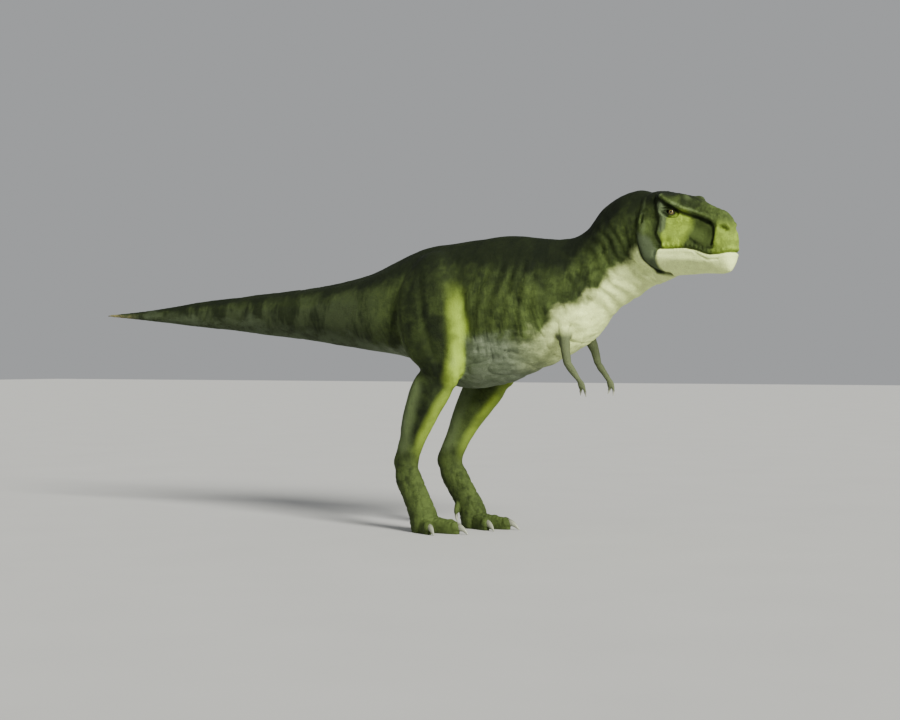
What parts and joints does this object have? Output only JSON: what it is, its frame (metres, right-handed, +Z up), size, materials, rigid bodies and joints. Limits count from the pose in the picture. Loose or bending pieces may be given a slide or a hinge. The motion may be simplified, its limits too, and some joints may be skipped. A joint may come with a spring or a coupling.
{
  "type": "tyrannosaur, life-size standing model of the living animal",
  "caption": "Life-size living tyrannosaur standing on two feet, tail level, head turned to its right and mouth closed.",
  "frame": {"origin": "on the floor, under the middle of the box that holds the animal", "axes": "+X from tail to head, +Y to the animal's left, +Z up"},
  "size_m": [11.2348, 1.6676, 4.8302],
  "materials": {
    "hide": "dry scaly skin, olive green, darker on the back",
    "claw": "horn, pale grey, satin",
    "eye": "wet amber eyeball"
  },
  "bodies": {
    "root": {"head": "hide", "jaw": "hide", "eye_left": "eye", "eye_right": "eye", "neck": "hide", "torso": "hide", "tail_base": "hide", "tail_middle": "hide", "tail_tip": "hide", "thigh_right": "hide", "shank_right": "hide", "metatarsus_right": "hide", "toe_middle_right": "hide", "claw_toe_middle_right": "claw", "toe_inner_right": "hide", "claw_toe_inner_right": "claw", "toe_outer_right": "hide", "claw_toe_outer_right": "claw", "hallux_right": "hide", "claw_hallux_right": "claw", "thigh_left": "hide", "shank_left": "hide", "metatarsus_left": "hide", "toe_middle_left": "hide", "claw_toe_middle_left": "claw", "toe_inner_left": "hide", "claw_toe_inner_left": "claw", "toe_outer_left": "hide", "claw_toe_outer_left": "claw", "hallux_left": "hide", "claw_hallux_left": "claw", "upper_arm_right": "hide", "forearm_right": "hide", "hand_right": "hide", "finger_front_right": "hide", "claw_finger_front_right": "claw", "finger_back_right": "hide", "claw_finger_back_right": "claw", "upper_arm_left": "hide", "forearm_left": "hide", "hand_left": "hide", "finger_front_left": "hide", "claw_finger_front_left": "claw", "finger_back_left": "hide", "claw_finger_back_left": "claw"}
  },
  "joints": []
}
